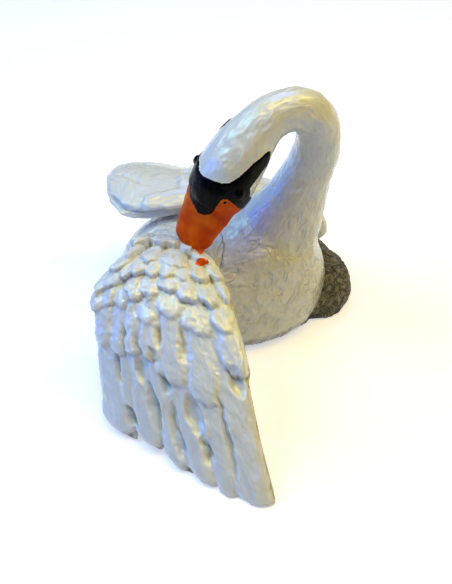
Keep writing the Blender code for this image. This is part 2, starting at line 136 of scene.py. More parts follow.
class Graph:
    """A node tree and the one method that adds a node to it."""

    def __init__(self, tree):
        self.tree = tree

    def node(self, kind, sockets, output=0, **settings):
        """Adds a node, feeds its sockets by name or number, and gives one output as a Value."""
        made = self.tree.nodes.new(kind)
        for name, setting in settings.items():
            setattr(made, name, setting)
        for key, fed in sockets.items():
            if isinstance(fed, Value):
                self.tree.links.new(fed.socket, made.inputs[key])
            else:
                made.inputs[key].default_value = fed
        return Value(self, made.outputs[output]) if made.outputs else made

    def math(self, operation, *terms):
        return self.node("ShaderNodeMath", dict(enumerate(terms)), operation=operation)

    def vector(self, operation, first, second):
        return self.node("ShaderNodeVectorMath", {0: first, 1: second}, operation=operation)

    def scaled(self, first, factor):
        return self.node("ShaderNodeVectorMath", {0: first, "Scale": factor}, operation="SCALE")

    def parts(self, vector):
        """The three parts of a vector."""
        made = self.node("ShaderNodeSeparateXYZ", {0: vector})
        return [Value(self, socket) for socket in made.socket.node.outputs]

    def noise(self, where, scale, detail=2.0, distortion=0.0, output=0):
        feeds = {"Vector": where, "Scale": scale, "Detail": detail, "Distortion": distortion}
        return self.node("ShaderNodeTexNoise", feeds, output)

    def blend(self, share, first, second):
        """A colour between two colours."""
        return self.node("ShaderNodeMix", {0: share, 6: first, 7: second}, 2, data_type="RGBA")

    def stored(self, name, kind="FLOAT"):
        """What the points of a geometry carry under a name."""
        return self.node("GeometryNodeInputNamedAttribute", {"Name": name}, data_type=kind)

    def store(self, geometry, name, value, kind="FLOAT"):
        feeds = {"Geometry": geometry, "Name": name, "Value": value}
        return self.node("GeometryNodeStoreNamedAttribute", feeds, data_type=kind, domain="POINT")

    def blurred(self, value, rounds, kind="FLOAT"):
        feeds = {"Value": value, "Iterations": rounds}
        return self.node("GeometryNodeBlurAttribute", feeds, data_type=kind)

    def triple(self, x, y, z):
        return self.node("ShaderNodeCombineXYZ", {0: x, 1: y, 2: z})

    def stretched(self, vector, factors):
        return self.vector("MULTIPLY", vector, factors)

    def bump(self, strength, distance, height):
        feeds = {"Strength": strength, "Distance": distance * MM, "Height": height}
        return self.node("ShaderNodeBump", feeds, "Normal")


# Curves, lofts and meshes


def through(points, share):
    """The point at a share of a smooth curve through the points. Past an end it runs straight on."""
    spans = len(points) - 1
    held = min(max(share, 0.0), 1.0)
    if held != share:
        end, inner = through(points, held), through(points, 0.02 if share < 0 else 0.98)
        return end + (end - inner) * abs(share - held) / 0.02
    place = share * spans
    first = min(int(place), spans - 1)
    t = place - first
    p1, p2 = points[first], points[first + 1]
    p0 = points[first - 1] if first > 0 else 2 * p1 - p2
    p3 = points[first + 2] if first + 2 <= spans else 2 * p2 - p1
    return 0.5 * (
        2 * p1
        + (p2 - p0) * t
        + (2 * p0 - 5 * p1 + 4 * p2 - p3) * t * t
        + (3 * p1 - p0 - 3 * p2 + p3) * t * t * t
    )


def mesh_from(name, points, faces):
    mesh = bpy.data.meshes.new(name)
    mesh.from_pydata(points, [], faces)
    return mesh


def new_object(name, mesh):
    made = bpy.data.objects.new(name, mesh)
    pieces.objects.link(made)
    return made


def taken_up(name, shape):
    """A new object that takes a bmesh as it is."""
    mesh = bpy.data.meshes.new(name)
    shape.to_mesh(mesh)
    shape.free()
    return new_object(name, mesh)


def object_from(name, shape):
    """A new object that takes a bmesh made in millimetres."""
    bmesh.ops.scale(shape, vec=(MM, MM, MM), verts=shape.verts)
    return taken_up(name, shape)


class Loft:
    """A closed skin over oval sections. A station is (centre, half width, half depth, upward direction)."""

    def __init__(self, stations):
        self.centres = [Vector(station[0]) for station in stations]
        self.sizes = [Vector((station[1], station[2], 0)) for station in stations]
        self.uppers = [Vector(station[3]).normalized() for station in stations]

    def axes(self, share):
        """Centre, along, aside, upper and size of the section at a share of the way."""
        held = min(max(share, 0.0), 1.0)
        ahead = through(self.centres, min(1.0, held + 0.01)) - through(self.centres, max(0.0, held - 0.01))
        along = ahead.normalized()
        upper = through(self.uppers, held)
        upper = (upper - along * upper.dot(along)).normalized()
        return through(self.centres, share), along, along.cross(upper), upper, through(self.sizes, held)

    def point(self, share, turn):
        centre, _, aside, upper, size = self.axes(share)
        return centre + aside * size.x * math.cos(turn) + upper * size.y * math.sin(turn)

    def skin(self, name, sides=32, rings=60):
        shape = bmesh.new()
        hoops = []
        for ring in range(rings + 1):
            turns = [2 * math.pi * side / sides for side in range(sides)]
            hoop = [shape.verts.new(self.point(ring / rings, turn)) for turn in turns]
            hoops.append([shape.edges.new((hoop[side], hoop[(side + 1) % sides])) for side in range(sides)])
        for hoop, following in zip(hoops, hoops[1:]):
            bmesh.ops.bridge_loops(shape, edges=hoop + following)
        bmesh.ops.holes_fill(shape, edges=shape.edges, sides=sides)
        bmesh.ops.recalc_face_normals(shape, faces=shape.faces)
        return object_from(name, shape)


def ball(name, centre, diameters, turn=None, segments=32):
    """A sphere stretched to three diameters, turned by a matrix and set at a point."""
    shape = bmesh.new()
    bmesh.ops.create_uvsphere(shape, u_segments=segments, v_segments=segments * 2 // 3, radius=0.5)
    stretch = Matrix.Diagonal((*diameters, 1))
    place = Matrix.Translation(centre) @ (turn or Matrix.Identity(4)) @ stretch
    bmesh.ops.transform(shape, matrix=place, verts=shape.verts)
    return object_from(name, shape)


def evaluated_mesh(obj):
    bpy.context.view_layer.update()
    graph = bpy.context.evaluated_depsgraph_get()
    return bpy.data.meshes.new_from_object(obj.evaluated_get(graph))


def settled(obj):
    """The object with its modifiers made part of its mesh."""
    mesh = evaluated_mesh(obj)
    obj.modifiers.clear()
    obj.data = mesh
    return obj


def joined(name, shells):
    """One object with the meshes of several, which are then removed."""
    shape = bmesh.new()
    for shell in shells:
        shape.from_mesh(evaluated_mesh(shell))
    for shell in shells:
        bpy.data.objects.remove(shell, do_unlink=True)
    return taken_up(name, shape)


def fused(obj, grain, smoothing):
    """Melts overlapping shells into one skin, as the clay original was."""
    remesh = obj.modifiers.new("Fuse", "REMESH")
    remesh.mode = "VOXEL"
    remesh.voxel_size = grain * MM
    soften = obj.modifiers.new("Soften", "SMOOTH")
    soften.factor = 0.5
    soften.iterations = smoothing
    return obj


# Feathers, laid by geometry nodes over a flat sheet that is then bent to its seat


class Sheet:
    """A closed sheet with an upper side for feathers, first flat: x across and y along it, in millimetres.

    place(a, b) gives (u, v) for shares a across and b along the sheet, and seat(u, v) the point under it.
    facing is -1 where u and v run the other way round, so that the feathers still stand outward.
    """

    def __init__(self, name, place, seat, across, along, width, length, facing=1):
        shares = [(a / across, b / along) for b in range(along + 1) for a in range(across + 1)]
        places = np.array([place(a, b) for a, b in shares])
        step = 0.004
        self.name, self.width, self.length = name, width, length
        self.seats = np.array([seat(u, v)[:] for u, v in places])
        run_u = np.array([(seat(u + step, v) - seat(u - step, v))[:] for u, v in places])
        run_v = np.array([(seat(u, v + step) - seat(u, v - step))[:] for u, v in places])
        outward = np.cross(run_v, run_u) * facing
        self.outward = outward / np.linalg.norm(outward, axis=1, keepdims=True)
        self.flat = np.stack([places[:, 0] * width, places[:, 1] * length, np.zeros(len(places))], axis=1)
        row = across + 1
        self.faces = [
            (k, k + 1, k + 1 + row, k + row)
            for b in range(along) for k in range(b * row, b * row + across)
        ]

    def upper(self, rim):
        """The flat upper side. rim is 0 where the sheet ends and 1 inside it."""
        mesh = mesh_from(self.name, self.flat, self.faces)
        for name, values in (("seat", self.seats), ("outward", self.outward), ("rim", rim)):
            add_values(mesh, name, values)
        return new_object(self.name, mesh)

    def lower(self, heights):
        """The plain underside, already in place."""
        places = (self.seats + self.outward * heights[:, None]) * MM
        mesh = mesh_from(self.name, places, [face[::-1] for face in self.faces])
        add_values(mesh, "grain", self.flat[:, [1, 0, 2]])
        return new_object(f"{self.name}_under", mesh)


def add_values(mesh, name, values):
    """Stores a number or a vector for each point of a mesh."""
    values = np.asarray(values, np.float32)
    kind, field = ("FLOAT", "value") if values.ndim == 1 else ("FLOAT_VECTOR", "vector")
    if name in mesh.attributes:
        mesh.attributes.remove(mesh.attributes[name])
    mesh.attributes.new(name, kind, "POINT").data.foreach_set(field, values.reshape(-1))


FEATHER_FIELDS = ("u", "tip", "half_u", "reach", "thickness", "lift", "twist", "ragged")
HOLLOW_FIELDS = ("u", "tip", "half_u", "reach", "thickness", "twist")


def feather_list(name, feathers, fields):
    """A point for each feather or hollow with its measures under these names; one left out counts as 0."""
    mesh = mesh_from(name, [(0, 0, 0)] * len(feathers), [])
    for field, values in zip(fields, zip(*feathers)):
        add_values(mesh, field, values)
    add_values(mesh, "draw", [index * 3.7 for index in range(len(feathers))])
    return new_object(name, mesh)


def new_tree(name, inputs):
    """Gives a tree's graph, a reader of its inputs, and the socket that takes the finished geometry.

    Its inputs are a geometry and these, each by a start value or a socket's kind.
    """
    tree = bpy.data.node_groups.new(name, "GeometryNodeTree")
    tree.interface.new_socket("Geometry", in_out="INPUT", socket_type="NodeSocketGeometry")
    for label, start in inputs.items():
        kind = start if isinstance(start, str) else "NodeSocketFloat"
        made = tree.interface.new_socket(label, in_out="INPUT", socket_type=kind)
        if kind == "NodeSocketFloat":
            made.default_value = start
    tree.interface.new_socket("Geometry", in_out="OUTPUT", socket_type="NodeSocketGeometry")
    graph = Graph(tree)
    given = tree.nodes.new("NodeGroupInput")
    taken = tree.nodes.new("NodeGroupOutput")

    def asked(label):
        return Value(graph, given.outputs[label])

    return graph, asked, taken.inputs[0]


def stroke_noise(graph, asked, grain, detail, distortion):
    """Brush strokes about a mean of 0, drawn out along the grain."""
    thin = 1 / asked("Stroke width")
    squeeze = graph.triple(1 / asked("Stroke length"), thin, thin)
    return graph.noise(graph.stretched(grain, squeeze), 1.0, detail, distortion) - 0.5


def feather_tree():
    """Nodes that lay a blunt, ridged feather for each point of a list over a flat sheet.

    They take the hollows away, press strokes and dents into the sheet, and bend it to its seat.
    """
    graph, asked, end = new_tree("Lay feathers", {
        "Feathers": "NodeSocketObject", "Hollows": "NodeSocketObject", "Sheet width": 55.0,
        "Sheet length": 100.0, "Ridge depth": 0.4, "Ridges across": 1.5, "Stroke depth": 0.12,
        "Stroke length": 6.0, "Stroke width": 1.4, "Edge height": -1.2, "Round end": 0.05,
        "Paint": "NodeSocketMaterial",
    })
    stored, store, blurred = graph.stored, graph.store, graph.blurred

    grid = {"Size X": 2.0, "Size Y": 2.0, "Vertices X": 25, "Vertices Y": 37}
    pod = graph.node("GeometryNodeMeshGrid", grid)
    marked = store(pod, "own", graph.node("GeometryNodeInputPosition", {}), "FLOAT_VECTOR")
    side, along, _ = graph.parts(stored("own", "FLOAT_VECTOR"))
    share = (along + 1) * 0.5

    def laid(listed, height, breadth, ragged):
        """One flat pod for each point of the list, with the height given."""
        spots = graph.node("GeometryNodeObjectInfo", {"Object": asked(listed)}, "Geometry")
        placed = graph.node("GeometryNodeInstanceOnPoints", {"Points": spots, "Instance": marked})
        real = graph.node("GeometryNodeRealizeInstances", {"Geometry": placed})
        u = stored("u") + stored("half_u") * side * breadth + stored("twist") * (share - 0.5)
        v = stored("tip") - stored("reach") * (1 - share) + ragged
        where = graph.triple(u * asked("Sheet width"), v * asked("Sheet length"), height)
        return graph.node("GeometryNodeSetPosition", {"Geometry": real, "Position": where})

    place = graph.node("GeometryNodeInputPosition", {})
    wander = graph.noise(place, 0.17, 1.5, 0.3, 1)
    torn = graph.noise(place, 0.42, 1.0, 0.5, 1)
    middle = (0.5, 0.5, 0.5)
    wandered = graph.stretched(graph.vector("SUBTRACT", wander, middle), (3.6, 4.0, 0))
    frayed = graph.stretched(graph.vector("SUBTRACT", torn, middle), (1.4, 2.0, 0))
    shifted = graph.vector("ADD", wandered, frayed)

    def found(pods, missed):
        """The height of the topmost pod over each point of the sheet, whose outlines wander a little."""
        above = graph.vector("ADD", graph.vector("ADD", place, shifted), (0, 0, 40))
        down_ray = {"Source Position": above, "Ray Direction": (0, 0, -1), "Ray Length": 80.0}
        ray = graph.node("GeometryNodeRaycast", {"Target Geometry": pods, **down_ray}, "Is Hit")
        top = graph.parts(Value(graph, ray.socket.node.outputs["Hit Position"]))[2]
        return top * ray + (1 - ray) * missed

    round_end = (1 - (1 - share) * stored("reach") / asked("Round end")).clamped()
    breadth = (1 - round_end ** 2.4).clamped() ** (1 / 2.2) * ((share * 1.6).clamped() * 0.2 + 0.8)
    fray = graph.noise(graph.triple(side * 1.9, stored("draw"), 0.0), 1.0, 0.3)
    ragged = (fray - 0.5) * stored("ragged") * (share * share)
    strand = side * asked("Ridges across") * (1.2 - share * 0.4)
    strands = graph.triple(strand, share * 1.1, stored("draw"))
    ridges = (graph.noise(strands, 1.0, 2.0, 0.5) - 0.5) * asked("Ridge depth") * 2
    flank = side.math("ABSOLUTE") ** 3
    height = (
        stored("lift") * (share * 1.3 - 0.5)
        + stored("thickness") * (0.5 - flank * 0.45 - round_end ** 3 * 0.14)
        + ridges * (share * 2.5).clamped()
    )
    feathers = laid("Feathers", height, breadth, ragged)
    bowl = (1 - side * side) * (1 - along * along)
    narrow = (1 - along * along).clamped() ** 0.5
    hollows = laid("Hollows", stored("thickness") * bowl.clamped() ** 0.7, narrow, 0.0)

    sheet = asked("Geometry")
    across, down, _ = graph.parts(place)
    grained = store(sheet, "grain", graph.triple(down, across, 0.0), "FLOAT_VECTOR")
    edge = asked("Edge height")
    raw = found(feathers, edge) - found(hollows, 0.0)
    raised = store(grained, "height", blurred(raw, 1))
    flow = stored("grain", "FLOAT_VECTOR")
    strokes = stroke_noise(graph, asked, flow, 2.0, 0.8)
    lumps = graph.noise(flow, 0.22, 1.0, 0.5) - 0.5
    dents = graph.noise(flow, 0.48, 1.0, 0.9) - 0.5
    final = stored("height") + strokes * asked("Stroke depth") * 2 + lumps * 0.8 + dents * 0.45
    rim = stored("rim")
    noted = store(raised, "height", final * rim + edge * (1 - rim))
    crested = store(noted, "crest", stored("height") - blurred(stored("height"), 16))
    lifted = graph.scaled(stored("outward", "FLOAT_VECTOR"), stored("height"))
    where = graph.scaled(graph.vector("ADD", stored("seat", "FLOAT_VECTOR"), lifted), MM)
    bent = graph.node("GeometryNodeSetPosition", {"Geometry": crested, "Position": where})
    whole = graph.node("GeometryNodeRealizeInstances", {"Geometry": bent})
    painted = graph.node("GeometryNodeSetMaterial", {"Geometry": whole, "Material": asked("Paint")})
    graph.tree.links.new(painted.socket, end)
    return graph.tree


def relief_tree():
    """Nodes that stroke a skin along its grain, then note where it is raised and where it is hollow."""
    graph, asked, end = new_tree("Brush relief", {
        "Stroke depth": 0.3, "Stroke length": 4.0, "Stroke width": 1.3, "Lump height": 0.4,
        "Lump size": 7.0, "Coat height": 0.5,
    })
    grain = graph.stored("grain", "FLOAT_VECTOR")
    strokes = stroke_noise(graph, asked, grain, 1.0, 0.6)
    lumps = graph.noise(graph.scaled(grain, 1 / asked("Lump size")), 1.0, 1.0) - 0.5
    coat = graph.stored("coat")
    worked = strokes * asked("Stroke depth") * 2 * (1 - coat * 0.8) + lumps * asked("Lump height") * 2
    rise = (worked + coat * asked("Coat height")) * MM
    normal = graph.node("GeometryNodeInputNormal", {})
    risen = {"Geometry": asked("Geometry"), "Offset": graph.scaled(normal, rise)}
    moved = graph.node("GeometryNodeSetPosition", risen)
    place = graph.node("GeometryNodeInputPosition", {})
    off_calm = graph.vector("SUBTRACT", place, graph.blurred(place, 14, "FLOAT_VECTOR"))
    feeds = {0: off_calm, 1: normal}
    proud = graph.node("ShaderNodeVectorMath", feeds, "Value", operation="DOT_PRODUCT")
    graph.tree.links.new(graph.store(moved, "crest", proud / MM).socket, end)
    return graph.tree


def with_tree(obj, tree, **sizes):
    """Puts a tree on an object as a modifier and sets its named inputs."""
    made = obj.modifiers.new(tree.name, "NODES")
    made.node_group = tree
    taken = [item for item in tree.interface.items_tree if item.in_out == "INPUT"]
    named = {item.name: item.identifier for item in taken}
    for name, value in sizes.items():
        made[named[name.replace("_", " ")]] = value


LAY_FEATHERS = feather_tree()
BRUSH_RELIEF = relief_tree()


def put_back(shape, mesh):
    """Turns a bmesh's faces outward and writes it into a mesh."""
    bmesh.ops.recalc_face_normals(shape, faces=shape.faces)
    shape.to_mesh(mesh)
    shape.free()


def points_of(mesh):
    """The mesh's points in millimetres, as rows."""
    places = np.empty(len(mesh.vertices) * 3, np.float32)
    mesh.vertices.foreach_get("co", places)
    return places.reshape(-1, 3).astype(np.float64) / MM


def stood(obj, paint):
    """Cuts off what is below the table, closes the flat feet, and paints the object."""
    shape = bmesh.new()
    shape.from_mesh(obj.data)
    whole = shape.verts[:] + shape.edges[:] + shape.faces[:]
    table = {"plane_co": (0, 0, 0), "plane_no": (0, 0, 1)}
    cut = bmesh.ops.bisect_plane(shape, geom=whole, clear_inner=True, **table)
    rims = [item for item in cut["geom_cut"] if isinstance(item, bmesh.types.BMEdge)]
    if rims:
        soles = bmesh.ops.holes_fill(shape, edges=rims, sides=0)["faces"]
        bmesh.ops.triangulate(shape, faces=soles)
    put_back(shape, obj.data)
    obj.data.polygons.foreach_set("use_smooth", [True] * len(obj.data.polygons))
    obj.data.update()
    obj.data.materials.clear()
    obj.data.materials.append(paint)
    return obj


# Body, neck and head


def body():
    """An egg with its girth low down, blunt below and narrower at the rump."""
    shape = bmesh.new()
    bmesh.ops.create_uvsphere(shape, u_segments=64, v_segments=44, radius=1)
    length, width = BODY_SIZE
    for vertex in shape.verts:
        x, y, z = vertex.co
        if z < 0:
            full = (1 - abs(z) ** 3) ** 0.5 / max(1e-6, (1 - z * z) ** 0.5) if abs(z) < 0.999 else 1
            x, y = x * full, y * full
        rump = max(0.0, -x - 0.2) / 0.8
        vertex.co = Vector((
            BODY_CENTRE_X + x * length / 2,
            y * width / 2 * (1 - 0.25 * rump),
            GIRTH_HEIGHT + z * (BACK_HEIGHT - GIRTH_HEIGHT) + 2 * rump * rump,
        ))
    return object_from("egg", shape)


def tail_feathers():
    """A short drooping fan of blunt feathers at the rump."""
    root = Vector((BODY_CENTRE_X - BODY_SIZE[0] / 2 + 6, 0, GIRTH_HEIGHT + 2))
    made = []
    for index in range(5):
        share = index / 4 - 0.5
        turn = Matrix.Rotation(math.radians(180 - 62 * share), 4, "Z")
        turn = turn @ Matrix.Rotation(math.radians(TAIL_DROOP), 4, "Y")
        middle = root + turn @ Vector((TAIL_LENGTH * 0.4, 0, 0))
        middle.z -= 2.4 * abs(share)
        made.append(ball(f"tail_feather_{index + 1}", middle, (TAIL_LENGTH * 1.6, 8.5, 4.2), turn, 24))
    return made


def wing_arm():
    """The thick root that carries the spread wing."""
    return Loft([
        ((-21, 0, 28), 16, 13, (0, -0.2, 1)),
        ((-22, -10, 34.5), 16.5, 11.5, (0, -0.2, 1)),
        ((-25, -20, 38.5), 16.5, 8.8, (0, 0, 1)),
        ((-27.5, -30, 40.5), 16, 6.2, (0, -0.1, 1)),
        ((-28.5, -39, 40), 13.5, 3.8, (0, -0.3, 1)),
        ((-28.8, -46, 37), 6, 1.6, (0, -0.4, 1)),
    ]).skin("arm")


def neck_loft(bill_tip):
    """From inside the breast, up over the crest and down to the bill's root."""
    throat, crest, breast = THROAT_RADIUS, CREST_RADIUS, BREAST_RADIUS
    head, deep = HEAD_WIDTH / 2, HEAD_DEPTH / 2
    rows = [
        # x, y, share of the rise from bill tip to crest, half width, half depth, upward direction
        (3, 0, -0.62, breast * 1.15, breast * 1.22, (1, 0, 0)),
        (11, -1.5, -0.34, breast * 1.02, breast * 1.12, (1, 0, 0)),
        (15.8, -2, -0.14, breast * 0.86, breast * 0.96, (1, 0, 0.1)),
        (19.6, -1.5, 0.04, breast * 0.74, breast * 0.79, (1, 0, 0.15)),
        (23.1, -0.6, 0.25, throat * 1.17, throat * 1.15, (1, 0, 0.18)),
        (25.8, 0, 0.42, throat * 1.07, throat * 1.01, (1, 0, 0.2)),
        (27.8, -0.5, 0.64, throat, throat * 0.94, (1, 0, 0.4)),
        (26.0, -2, 0.86, crest * 1.08, crest * 1.08, (0.8, 0, 0.8)),
        (19.2, -5, 1.0, crest * 1.04, crest * 1.04, (0.1, -0.1, 1)),
        (11.4, -8, 0.99, crest * 1.05, crest * 1.05, (-0.4, -0.3, 1)),
        (5.4, -10.8, 0.90, crest * 1.18, crest * 1.18, (-0.6, -0.5, 0.8)),
        (0.8, -13.2, 0.78, head * 0.91, deep * 0.90, (-0.6, -0.65, 0.5)),
        (-3.6, -15.8, 0.635, head, deep, (-0.6, -0.7, 0.4)),
        (-7.4, -17.8, 0.50, head * 1.02, deep * 0.95, (-0.58, -0.72, 0.36)),
        (-10.4, -19.2, 0.40, head * 0.94, deep * 0.80, (-0.5, -0.75, 0.33)),
        (-12.6, -20.2, 0.33, head * 0.74, deep * 0.58, (-0.45, -0.78, 0.3)),
    ]
    rise = NECK_CREST_HEIGHT - bill_tip.z
    return Loft([
        ((x, y, bill_tip.z + rise * share), wide, tall, upward) for x, y, share, wide, tall, upward in rows
    ])


def bill_loft(root, tip):
    """The closed bill: deep and broad at its root, flat and spoon-ended at its tip."""
    narrowing = BILL_TIP_WIDTH / BILL_WIDTH / 0.66
    sections = [
        # share of the way to the tip, share of the root's width, share of the root's depth
        (-0.22, 0.86, 0.95), (0.0, 1.0, 1.0), (0.25, 0.94, 0.80), (0.50, 0.85, 0.58),
        (0.72, 0.77, 0.45), (0.88, 0.66, 0.36), (0.97, 0.40, 0.26), (1.0, 0.10, 0.10),
    ]
    return Loft([
        (
            root.lerp(tip, share), BILL_WIDTH / 2 * wide * (1 + (narrowing - 1) * max(0.0, share)),
            BILL_DEPTH / 2 * deep, (-0.40, -0.80, 0.28),
        )
        for share, wide, deep in sections
    ])


class HeadChart:
    """Measures on the head: how far towards the bill, and the angle round from the crown."""

    def __init__(self, neck):
        self.centre, self.upper = neck.centres[-4], neck.uppers[-4]
        self.along = (neck.centres[-2] - neck.centres[-5]).normalized()
        self.upper = (self.upper - self.along * self.upper.dot(self.along)).normalized()
        self.aside = self.along.cross(self.upper)

    def read(self, points):
        """Advance in millimetres, angle in degrees and distance from the head's axis, for each point."""
        apart = points - np.array(self.centre)
        advance, side, up = (apart @ np.array(axis) for axis in (self.along, self.aside, self.upper))
        return advance, np.degrees(np.arctan2(side, up)), np.hypot(side, up)


def inside(polygon, points):
    """How far points lie inside a polygon: above 0 within it, below 0 outside."""
    corners = np.array(polygon, float)
    ends = np.roll(corners, -1, axis=0)
    nearest = np.full(len(points), 1e9)
    within = np.zeros(len(points), bool)
    for (ax, ay), (bx, by) in zip(corners, ends):
        px, py, ex, ey = points[:, 0] - ax, points[:, 1] - ay, bx - ax, by - ay
        share = np.clip((px * ex + py * ey) / (ex * ex + ey * ey), 0, 1)
        nearest = np.minimum(nearest, np.hypot(px - ex * share, py - ey * share))
        crosses = (ay > points[:, 1]) != (by > points[:, 1])
        rise = by - ay if by != ay else 1e-9
        within ^= crosses & (points[:, 0] < (bx - ax) * (points[:, 1] - ay) / rise + ax)
    return np.where(within, nearest, -nearest)


# The black mask's outline on the head, as (millimetres towards the bill, degrees round from the crown)
MASK = [
    (11.5, -230), (11.5, -120), (10.3, -84), (9.3, -69), (8.9, -54), (9.8, -46), (13.8, -48), (17.6, -58),
    (19.6, -42), (20.5, -8), (19.3, 17), (17.6, 46), (15.2, 55), (14.2, 62), (14.0, 74), (14.0, 88),
    (12.4, 100), (11.5, 130), (11.5, 230),
    (5, 230), (5, 130), (4, 108), (0, 104), (-5, 104), (-10, 92), (-13.5, 76), (-13.2, 61), (-10.5, 60),
    (-7.5, 67), (-5.5, 84), (-1, 84), (2.0, 72), (3.6, 56), (4.4, 40), (6.4, 26), (6.8, 10), (5.9, -10),
    (4.9, -28), (3.4, -40), (-0.1, -49), (-6, -60), (-9.6, -72), (-12, -83), (-12.5, -92), (-8.3, -106),
    (-3.7, -93), (2, -83), (5, -97), (6, -120), (6, -230),
]
MASK_DEGREE = 0.18
# A run of the bill's paint from its tip
DRIP = (-15.2, -28.4, 49.6)
DRIP_DIAMETERS = (1.9, 5.6, 1.9)
NO_PAINT = -5.0


def straightened(neck, points):
    """Each point's place as if the neck were laid straight: along it, then across it."""
    samples = [neck.axes(index / 240) for index in range(241)]
    centres = np.array([sample[0][:] for sample in samples])
    run = np.concatenate([[0], np.cumsum(np.linalg.norm(np.diff(centres, axis=0), axis=1))])
    nearest = np.empty(len(points), int)
    for start in range(0, len(points), 20000):
        block = points[start:start + 20000]
        nearest[start:start + 20000] = ((block[:, None, :] - centres[None]) ** 2).sum(axis=2).argmin(axis=1)
    axes = [np.array([sample[part][:] for sample in samples]) for part in (1, 2, 3)]
    apart = points - centres[nearest]
    along, aside, upper = ((apart * axis[nearest]).sum(axis=1) for axis in axes)
    return np.stack([run[nearest] + along, aside, upper], axis=1)


def note_paint(skin, chart, root, tip):
    """Stores how far each point lies inside the black and orange paint, and that paint's thickness."""
    points = points_of(skin.data)
    advance, angle, apart = chart.read(points)
    outline = [(forward, turn * MASK_DEGREE) for forward, turn in MASK]
    black = inside(outline, np.stack([advance, angle * MASK_DEGREE], axis=1))
    off_nostril = np.hypot(advance - NOSTRIL_ADVANCE, (np.abs(angle) - NOSTRIL_ANGLE) * MASK_DEGREE)
    black = np.maximum(black, NOSTRIL_RADIUS - off_nostril)
    on_head = (apart < 24) & (advance > -30) & (advance < 30)
    black = np.where(on_head, black, NO_PAINT)
    bill = np.array(tip - root)
    share = np.clip((points - root) @ bill / (tip - root).length_squared, 0, 1)
    off_bill = np.linalg.norm(points - root - share[:, None] * bill, axis=1)
    on_bill = off_bill < BILL_WIDTH / 2 + 2 - 3.5 * share
    run = 1.5 - np.linalg.norm((points - np.array(DRIP)) / np.array(DRIP_DIAMETERS), axis=1) * 2
    orange = np.maximum(np.where(on_bill, advance - BILL_PAINT_ADVANCE, NO_PAINT), run)
    coat = np.clip(black / 0.7 + 0.2, 0, 1) + 0.4 * np.clip(orange, 0, 1) * (black < 0)
    # How much the white is brush-worked and painted with shade: most on the breast, least on the head and
    # tail
    worked = np.clip((70 - points[:, 2]) / 30, 0.25, 1) * (points[:, 0] > -45)
    for name, values in (("black", black), ("orange", orange), ("coat", coat), ("worked", worked)):
        add_values(skin.data, name, values)


def swan_body(paint):
    """Body, tail, neck, head, bill and eyes as one skin, with its paint's outlines noted on it."""
    bill_tip = spread_point(BILL_U, BILL_V, 1.9)
    neck = neck_loft(bill_tip)
    chart = HeadChart(neck)
    root = neck.centres[-2]
    tip = root + (bill_tip - root).normalized() * max(BILL_LENGTH, (bill_tip - root).length)
    torso = joined("torso", [body(), ball("neck_root", *NECK_ROOT), neck.skin("neck", rings=90)])
    fused(torso, TORSO_GRAIN, 36)
    rounder = torso.modifiers.new("Rounder", "SUBSURF")
    rounder.levels = rounder.render_levels = 1
    shells = [torso, bill_loft(root, tip).skin("bill"), wing_arm(), *tail_feathers()]
    shells.append(ball("drip", DRIP, DRIP_DIAMETERS, segments=16))
    knob = root + chart.upper * BILL_DEPTH * 0.34 - chart.along
    shells.append(ball("knob", knob, (KNOB_DIAMETER,) * 3))
    for side, way in (("left", 1), ("right", -1)):
        out = (chart.aside * way * 0.90 + chart.upper * 0.36).normalized()
        seat = chart.centre + chart.along * EYE_ADVANCE + out * HEAD_WIDTH / 2 * 0.96
        shells.append(ball(f"{side}_eye", seat, (EYE_DIAMETER,) * 3, segments=16))
    skin = settled(fused(joined("swan_body", shells), BODY_GRAIN, 3))
    add_values(skin.data, "grain", straightened(neck, points_of(skin.data)))
    note_paint(skin, chart, root, tip)
    strokes = {"Stroke_depth": 0.42, "Stroke_length": 4.2, "Stroke_width": 1.5}
    with_tree(skin, BRUSH_RELIEF, Lump_height=0.55, **strokes)
    return stood(settled(skin), paint)


# Right wing, spread from the back down to the table. Each guide runs from inside the body to the table.

# Rear edge, middle and front edge
SPREAD_GUIDES = [[Vector(point) for point in guide] for guide in (
    [(-36, -6, 40), (-38, -17, 47), (-46.5, -29, 45), (-52.5, -38, 36), (-52.2, -48, 24),
     (-50.8, -59, 11), (-49, -70.5, -1.5)],
    [(-24, -8, 40), (-25.5, -19, 48), (-28, -32, 48), (-29, -45, 42), (-28, -59, 30),
     (-24.5, -74, 15.5), (-20, -91.5, -1.5)],
    [(-9, -10, 37), (-12, -21, 45), (-7, -38, 44.5), (-2.3, -54.5, 39), (1.8, -71, 28),
     (6.4, -88.5, 13.5), (12.5, -107, -1.5)],
)]
SPREAD_WIDTH = 55.0
SPREAD_LENGTH = 100.0
SPREAD_CELLS = (172, 270)
UNDERSIDE_HEIGHT = -3.0
EDGE_HEIGHT = -1.2
EDGE_ROUNDING = 1.3
BILL_U = 0.71
BILL_V = 0.23


def spread_surface(u, v):
    """The right wing's upper surface: u from its rear edge to its front edge, v from root to tip."""
    rear, middle, front = (through(guide, v) for guide in SPREAD_GUIDES)
    t = 2 * u
    return rear * (1 - t) * (2 - t) / 2 + middle * t * (2 - t) + front * t * (t - 1) / 2


def spread_point(u, v, height):
    """A point over the right wing's surface."""
    step = 0.01
    across = spread_surface(u + step, v) - spread_surface(u - step, v)
    down = spread_surface(u, v + step) - spread_surface(u, v - step)
    return spread_surface(u, v) + down.cross(across).normalized() * height


